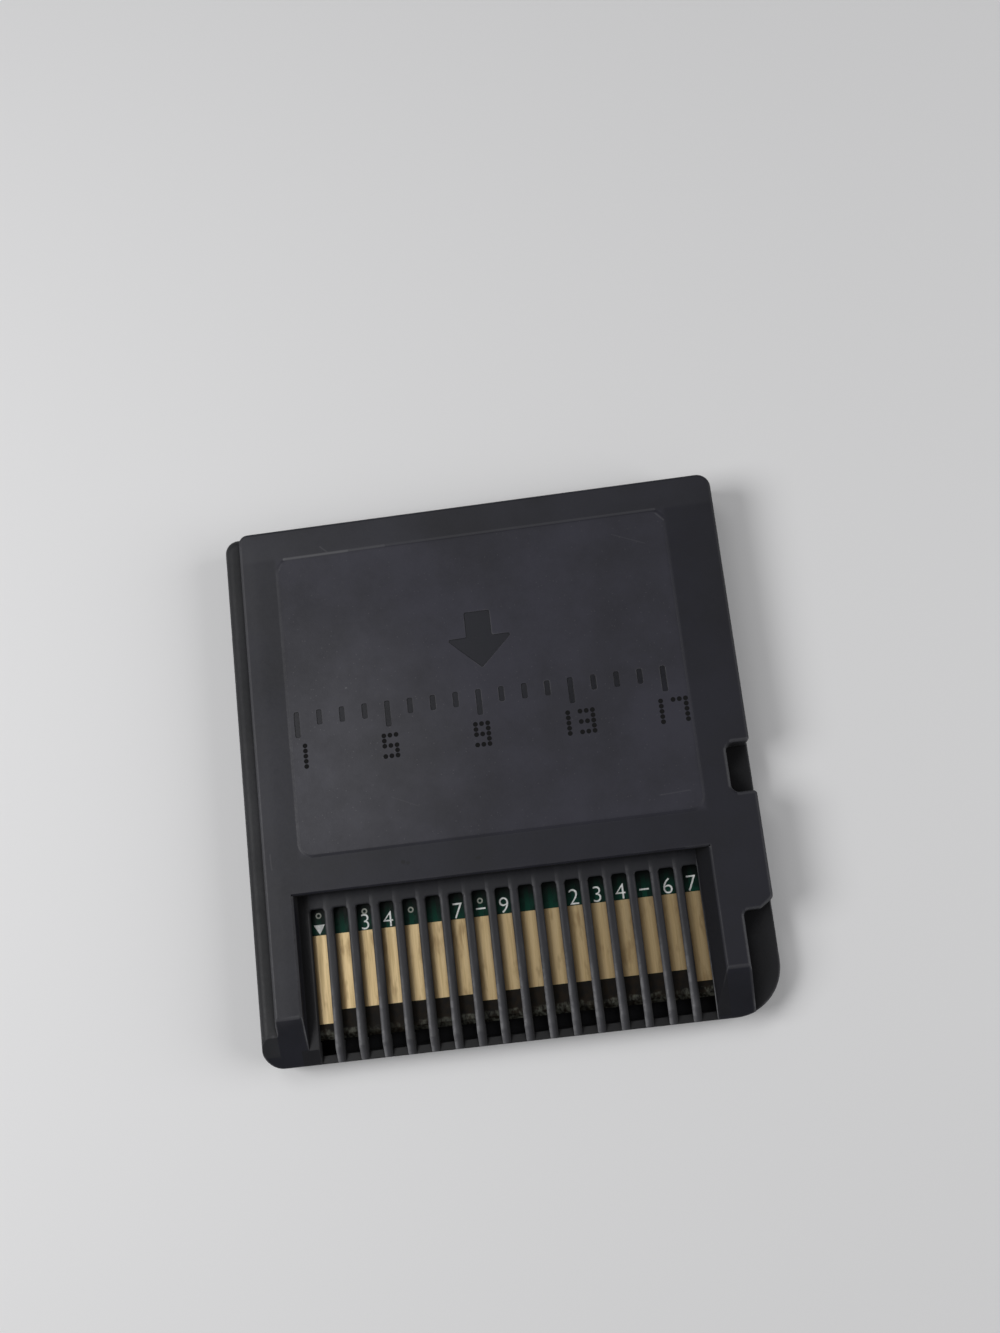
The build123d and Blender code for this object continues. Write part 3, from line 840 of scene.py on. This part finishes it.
def printBoard(look):
    high = boardTop + look["thickness"]
    bm = bmesh.new()
    for number, text in look["digits"].items():
        x, y = padTop(number)
        addDigit(bm, text, x, y + look["digitGap"], look)
    for number in look["dashes"]:
        x, y = padTop(number)
        slab(bm, rectangle(x, y + look["digitHeight"] / 2, *look["dashSize"]), boardTop, high)
    x, y = padTop(look["arrowPad"])
    wide, tall = look["arrowSize"]
    tip = y + look["digitGap"]
    slab(bm, [(x, tip), (x + wide / 2, tip + tall), (x - wide / 2, tip + tall)], boardTop, high)
    finishPiece(bm, "boardPrint", inkMaterial(look))


viaLook = {
    "gaps": {1: 1.25 * mm, 3: 1.20 * mm, 5: 0.95 * mm, 8: 1.0 * mm},   # pad number: distance above its pad
    "radii": (0.10 * mm, 0.19 * mm),
    "thickness": 0.012 * mm,
    "steps": 24,               # corners round a ring
    "dark": (0.20, 0.22, 0.19, 1),
    "pale": (0.34, 0.35, 0.30, 1),
    "noise": (5000.0, 2.0),
    "roughness": 0.45,
}


def ring(bm, x, y, inner, outer, low, high, steps):
    loops = []
    turns = [2 * math.pi * i / steps for i in range(steps)]
    for radius, z in ((inner, low), (inner, high), (outer, high), (outer, low)):
        loops.append([bm.verts.new((x + radius * math.cos(a), y + radius * math.sin(a), z)) for a in turns])
    for first, second in zip(loops, loops[1:] + loops[:1]):
        for i in range(steps):
            j = (i + 1) % steps
            bm.faces.new([first[i], first[j], second[j], second[i]])


def viaMaterial(look):
    material, tree, shader, where = newMaterial("viaRing")
    patch = noise(tree, where, *look["noise"])
    feed(tree, shader, colour=mixColour(tree, patch, look["dark"], look["pale"]))
    shader.inputs["Roughness"].default_value = look["roughness"]
    return material


def makeVias(look):
    bm = bmesh.new()
    for number, gap in look["gaps"].items():
        x, y = padTop(number)
        ring(bm, x, y + gap, *look["radii"], boardTop, boardTop + look["thickness"], look["steps"])
    finishPiece(bm, "boardVias", viaMaterial(look))


traceLook = {
    "width": 0.30 * mm,
    "length": 3.4 * mm,
    "thickness": 0.0048 * mm,
    "pale": (0.006, 0.050, 0.031, 1),
    "roughness": 0.28,
}


# the same lacquer as the board's, over copper
def traceMaterial(look, lacquer):
    material, tree, shader, where = newMaterial("lacqueredTrace")
    along = addNode(tree, "ShaderNodeSeparateXYZ", {0: where}).outputs["Y"]
    colour = mixColour(tree, noise(tree, where, *lacquer["weaveNoise"]), lacquer["green"], look["pale"])
    feed(tree, shader, colour=mixColour(tree, topShade(tree, along, lacquer), colour, lacquer["shade"]))
    shader.inputs["Roughness"].default_value = look["roughness"]
    shader.inputs["Specular IOR Level"].default_value = lacquer["specular"]
    return material


def makeTraces(look):
    high = boardTop + look["thickness"]
    bm = bmesh.new()
    for i in range(len(padNames)):
        x, y = padTop(i + 1)
        slab(bm, rectangle(x, y + look["length"] / 2, look["width"], look["length"]), boardTop, high)
    finishPiece(bm, "boardTraces", traceMaterial(look, boardLook))


printBoard(printLook)
makeVias(viaLook)
makeTraces(traceLook)
print("board finished")


# pieces inside, and the label on the face that lies down

insideLook = {
    "noise": (4000.0, 2.0),
    "depth": 0.01 * mm,
    "materials": {
        "epoxyBlack": {
            "pieces": ("memory_chip", "save_chip"),
            "dark": (0.012, 0.012, 0.013, 1), "pale": (0.022, 0.022, 0.024, 1),
            "roughness": 0.55, "metallic": 0.0,
        },
        "tinnedLead": {
            "pieces": ("memory_chip_leads", "save_chip_leads"),
            "dark": (0.52, 0.52, 0.52, 1), "pale": (0.66, 0.66, 0.66, 1),
            "roughness": 0.35, "metallic": 1.0,
        },
        "capacitorTan": {
            "pieces": ("capacitor_1", "capacitor_2", "capacitor_3"),
            "dark": (0.34, 0.22, 0.13, 1), "pale": (0.42, 0.28, 0.17, 1),
            "roughness": 0.45, "metallic": 0.0,
        },
        "resistorBlack": {
            "pieces": ("resistor_1", "resistor_2", "resistor_3"),
            "dark": (0.02, 0.02, 0.02, 1), "pale": (0.04, 0.04, 0.04, 1),
            "roughness": 0.3, "metallic": 0.0,
        },
    },
}


def plainMottle(name, kind, look):
    material, tree, shader, where = newMaterial(name)
    patch = noise(tree, where, *look["noise"])
    feed(tree, shader, colour=mixColour(tree, patch, kind["dark"], kind["pale"]),
         normal=bumped(tree, patch, look["depth"]))
    shader.inputs["Roughness"].default_value = kind["roughness"]
    shader.inputs["Metallic"].default_value = kind["metallic"]
    return material


for materialName, kind in insideLook["materials"].items():
    mottled = plainMottle(materialName, kind, insideLook)
    for name in kind["pieces"]:
        wear(name, mottled)

labelLook = {
    "ground": (0.58, 0.59, 0.60, 1),
    "band": (0.07, 0.16, 0.28, 1),
    "bandShare": 0.24,         # of the label's length, at the grip end
    "bandBlend": 0.02 * mm,
    "line": (0.30, 0.32, 0.34, 1),
    "lineGap": 0.8 * mm,       # from the band to the line's middle
    "lineHalf": 0.12 * mm,
    "fibreNoise": (3000.0, 2.0),
    "fibreRange": (0.93, 1.0),
    "fibreDepth": 0.004 * mm,
    "roughness": 0.34,
}


def labelMaterial(look):
    material, tree, shader, where = newMaterial("labelFilm")
    low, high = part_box("front_label")
    along = addNode(tree, "ShaderNodeSeparateXYZ", {0: where}).outputs["Y"]
    edge = high.y - (high.y - low.y) * look["bandShare"]
    fibre = ramp(tree, noise(tree, where, *look["fibreNoise"]), *noiseBulk, *look["fibreRange"])
    colour = layered(tree, look["ground"], [
        (ramp(tree, along, edge, edge + look["bandBlend"]), look["band"]),
        (calc(tree, "COMPARE", along, edge - look["lineGap"], look["lineHalf"]), look["line"]),
    ])
    feed(tree, shader, colour=mixColour(tree, 1.0, colour, fibre, "MULTIPLY"),
         normal=bumped(tree, fibre, look["fibreDepth"]))
    shader.inputs["Roughness"].default_value = look["roughness"]
    return material


wear("front_label", labelMaterial(labelLook))
print("inside pieces and label finished")


# floor, light and camera

floorLook = {"size": 1.2, "colour": (0.80, 0.80, 0.805, 1), "roughness": 0.9, "specular": 0.1}


def makeFloor(look):
    mesh = bpy.data.meshes.new("floor")
    corners = [(x, y, 0) for x, y in rectangle(0, 0, look["size"], look["size"])]
    mesh.from_pydata(corners, [], [(0, 1, 2, 3)])
    floor = bpy.data.objects.new("floor", mesh)
    bpy.context.scene.collection.objects.link(floor)
    material, _, shader, _ = newMaterial("paleFloor")
    shader.inputs["Base Color"].default_value = look["colour"]
    shader.inputs["Roughness"].default_value = look["roughness"]
    shader.inputs["Specular IOR Level"].default_value = look["specular"]
    mesh.materials.append(material)


lightLook = {
    "key": {"at": (-0.122, 0.001, 0.138), "aim": (0.0, 0.0, 0.0), "size": 0.10, "watts": 0.186},
    "fill": {"at": (0.21, -0.025, 0.13), "aim": (0.0, 0.0, 0.0), "size": 0.20, "watts": 0.268},
    "back": {"at": (-0.08, 0.14, 0.27), "aim": (0.0, 0.0, 0.0), "size": 0.12, "watts": 0.088},
    "world": (1.0, 1.0, 1.02, 1),
    "worldStrength": 0.14,
}


def makeLight(name, look):
    lamp = bpy.data.lights.new(name, "AREA")
    lamp.shape = "DISK"
    lamp.size = look["size"]
    lamp.energy = look["watts"]
    holder = bpy.data.objects.new(name, lamp)
    holder.location = look["at"]
    holder.rotation_euler = (Vector(look["aim"]) - Vector(look["at"])).to_track_quat("-Z", "Y").to_euler()
    bpy.context.scene.collection.objects.link(holder)


def makeWorld(look):
    world = bpy.data.worlds.new("softRoom")
    world.use_nodes = True
    background = world.node_tree.nodes["Background"]
    background.inputs["Color"].default_value = look["world"]
    background.inputs["Strength"].default_value = look["worldStrength"]
    bpy.context.scene.world = world


cameraLook = {
    "at": Vector((6.49, -14.08, 93.73)) * mm,
    "aim": Vector((1.07, 7.06, 0.0)) * mm,
    "turn": math.radians(6.45),      # the card leans this much in the picture
    "lens": 38.33,
    "nearest": 5 * mm,
}


def makeCamera(look):
    camera = bpy.data.cameras.new("camera")
    camera.lens = look["lens"]
    camera.clip_start = look["nearest"]
    holder = bpy.data.objects.new("camera", camera)
    forward = (look["aim"] - look["at"]).normalized()
    upHint = Vector((math.sin(look["turn"]), math.cos(look["turn"]), 0.0))
    side = forward.cross(upHint).normalized()
    up = side.cross(forward)
    turnMatrix = Matrix((side, up, -forward)).transposed().to_4x4()
    holder.matrix_world = Matrix.Translation(look["at"]) @ turnMatrix
    bpy.context.scene.collection.objects.link(holder)
    bpy.context.scene.camera = holder


makeFloor(floorLook)
for name in ("key", "fill", "back"):
    makeLight(name, lightLook[name])
makeWorld(lightLook)
makeCamera(cameraLook)
bpy.context.scene.view_settings.view_transform = "Standard"
print("stage set")
